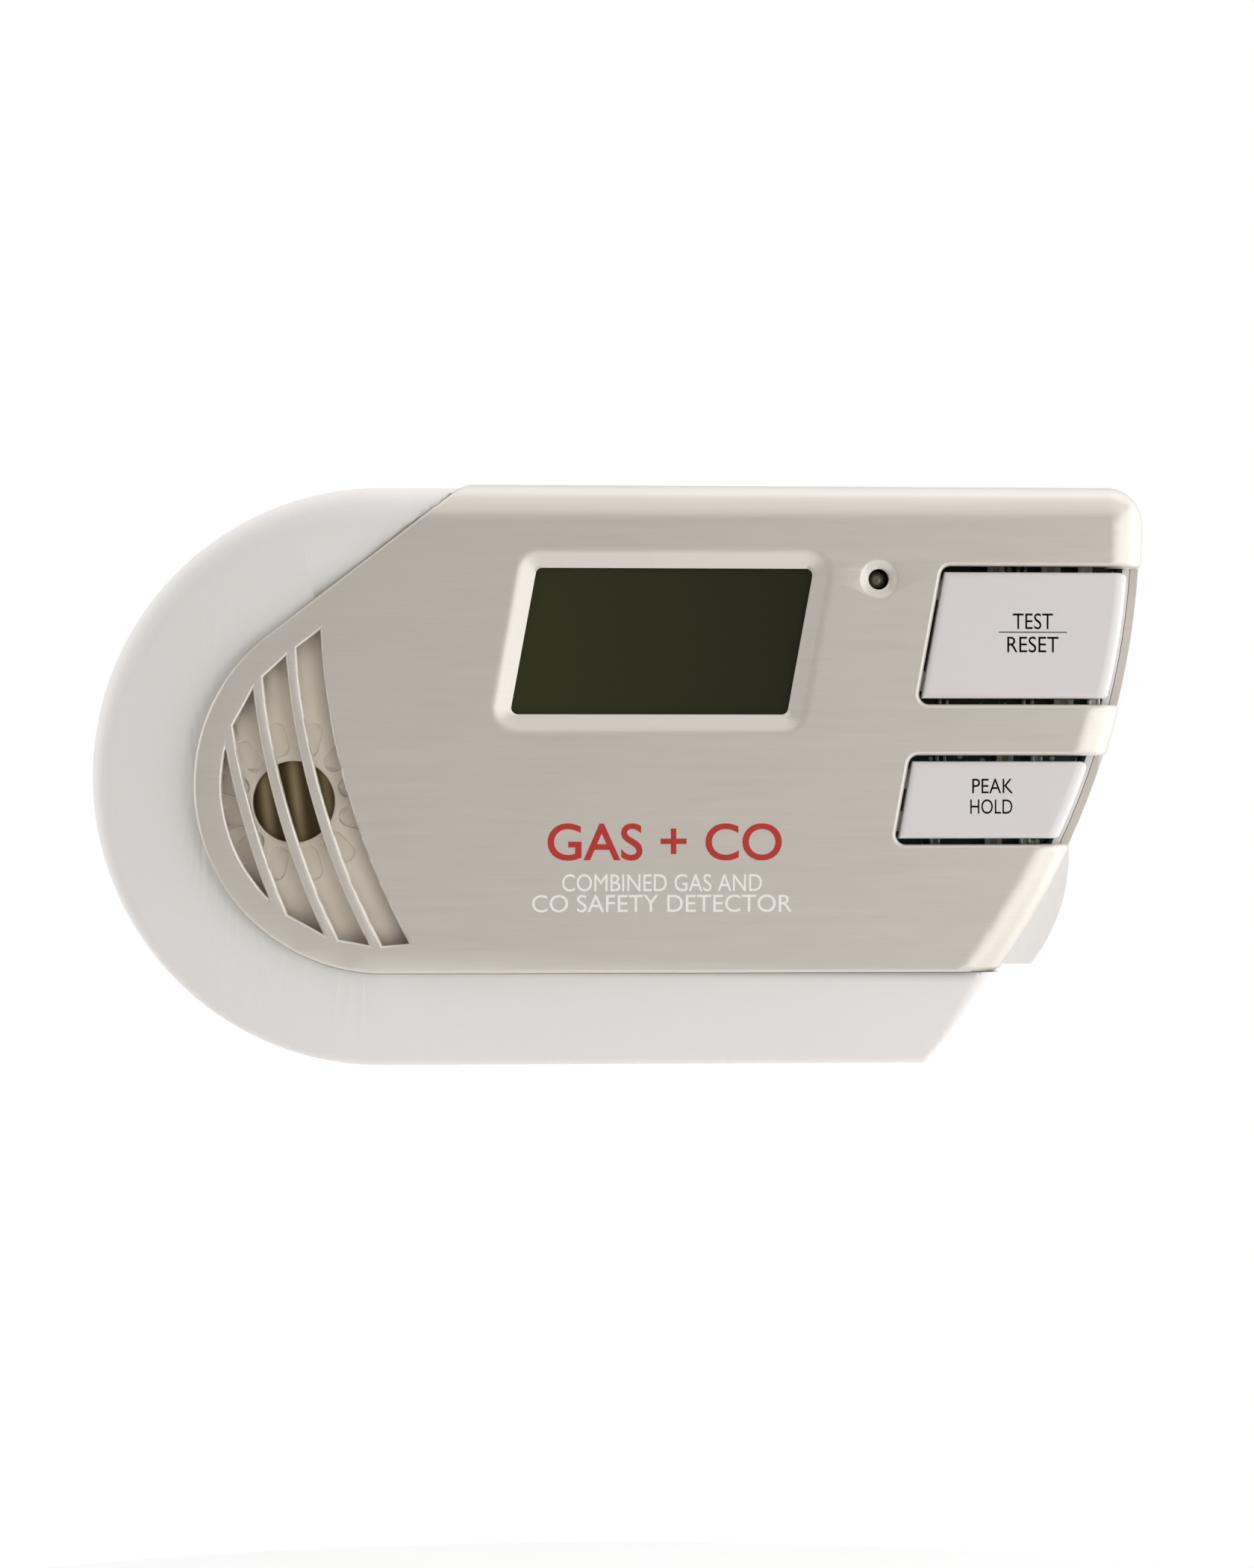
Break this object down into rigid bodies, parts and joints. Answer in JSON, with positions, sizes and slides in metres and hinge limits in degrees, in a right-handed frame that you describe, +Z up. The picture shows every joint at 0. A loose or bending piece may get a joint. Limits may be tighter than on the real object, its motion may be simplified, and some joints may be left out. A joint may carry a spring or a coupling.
{
  "type": "carbon monoxide detector",
  "caption": "Plug-in gas and carbon monoxide alarm: rounded white casing, silver front cover, slanted display window, curved vent, two side buttons and a sliding battery drawer.",
  "frame": {"origin": "midway between the two plug blades, on the flat rear face that rests against the wall", "axes": "+X to the right as seen from the front, +Z up, +Y into the wall along the plug blades; the front faces -Y"},
  "size_m": [0.159, 0.0592, 0.0871],
  "materials": {
    "silver_cover": "satin pearl silver lacquer with a fine level brushed grain",
    "white_shell": "white moulded plastic, very fine spark texture",
    "white_button": "white moulded plastic, satin",
    "label_paper": "blank silver-grey label",
    "black_plastic": "black moulded plastic",
    "switch_plunger": "red-brown switch plunger",
    "display_glass": "dark olive glossy display glass",
    "backlight_plastic": "milky light guide",
    "grey_rubber": "grey conductive rubber",
    "smoke_lens": "smoke-tinted clear lens",
    "circuit_board": "dark green solder mask",
    "cell_plastic": "off-white sensor body",
    "nickel_steel": "nickel-plated steel",
    "copper_coil": "enamelled copper wire",
    "capacitor_can": "sleeved aluminium can",
    "core_steel": "stacked steel laminations",
    "fuse_glass": "glass tube with plated caps",
    "surge_blue": "blue epoxy coat",
    "brass_pin": "gold-plated pin",
    "natural_plastic": "natural translucent plastic",
    "sounder_brass": "thin rolled brass",
    "ceramic_disc": "silvered ceramic",
    "lead_red": "insulated lead",
    "battery_jacket": "printed battery jacket",
    "blade_brass": "nickel-plated brass blade",
    "zinc_screw": "zinc-plated steel"
  },
  "bodies": {
    "casing": {"front_cover": "silver_cover", "rear_housing": "white_shell", "front_housing": "white_shell", "rating_label": "label_paper", "test_switch": "black_plastic", "peak_switch": "black_plastic", "display_glass": "display_glass", "display_backlight": "backlight_plastic", "contact_strips": "grey_rubber", "display_frame": "black_plastic", "status_light": "smoke_lens", "main_board": "circuit_board", "microcontroller": "black_plastic", "carbon_monoxide_cell": "cell_plastic", "gas_sensor_can": "nickel_steel", "gas_sensor_screen": "nickel_steel", "horn_coil": "copper_coil", "board_capacitors": "capacitor_can", "power_board": "circuit_board", "transformer_core": "core_steel", "transformer_winding": "copper_coil", "mains_fuse": "fuse_glass", "surge_absorber": "surge_blue", "filter_capacitors": "capacitor_can", "board_header": "brass_pin", "horn_housing": "natural_plastic", "horn_back": "natural_plastic", "sounder_disc": "sounder_brass", "sounder_ceramic": "ceramic_disc", "horn_leads": "lead_red", "battery_contacts": "nickel_steel", "contact_holder": "black_plastic", "plug_blade_line": "blade_brass", "plug_blade_neutral": "blade_brass", "plug_carrier": "black_plastic", "case_screws": "zinc_screw", "board_screws": "zinc_screw"},
    "drawer": {"battery_drawer": "white_shell", "battery": "battery_jacket", "battery_terminals": "nickel_steel"},
    "test_cap": {"test_button": "white_button"},
    "peak_cap": {"peak_button": "white_button"},
    "test_switch_plunger": {"test_plunger": "switch_plunger"},
    "peak_switch_plunger": {"peak_plunger": "switch_plunger"}
  },
  "joints": [
    {"name": "test_press", "type": "slide", "parent": "casing", "child": "test_cap", "axis": [0, 1, 0], "range_m": [0, 0.0006], "stiffness_N_per_m": 400},
    {"name": "peak_press", "type": "slide", "parent": "casing", "child": "peak_cap", "axis": [0, 1, 0], "range_m": [0, 0.0006], "stiffness_N_per_m": 400},
    {"name": "test_plunger_travel", "type": "slide", "parent": "casing", "child": "test_switch_plunger", "axis": [0, 1, 0], "range_m": [0, 0.0003], "stiffness_N_per_m": 100},
    {"name": "peak_plunger_travel", "type": "slide", "parent": "casing", "child": "peak_switch_plunger", "axis": [0, 1, 0], "range_m": [0, 0.0003], "stiffness_N_per_m": 100},
    {"name": "drawer_slide", "type": "slide", "parent": "casing", "child": "drawer", "axis": [1, 0, 0], "range_m": [0, 0.05]}
  ],
  "couplings": [
    {"joint": "test_plunger_travel", "follows": "test_press", "ratio": 0.5},
    {"joint": "peak_plunger_travel", "follows": "peak_press", "ratio": 0.5}
  ]
}
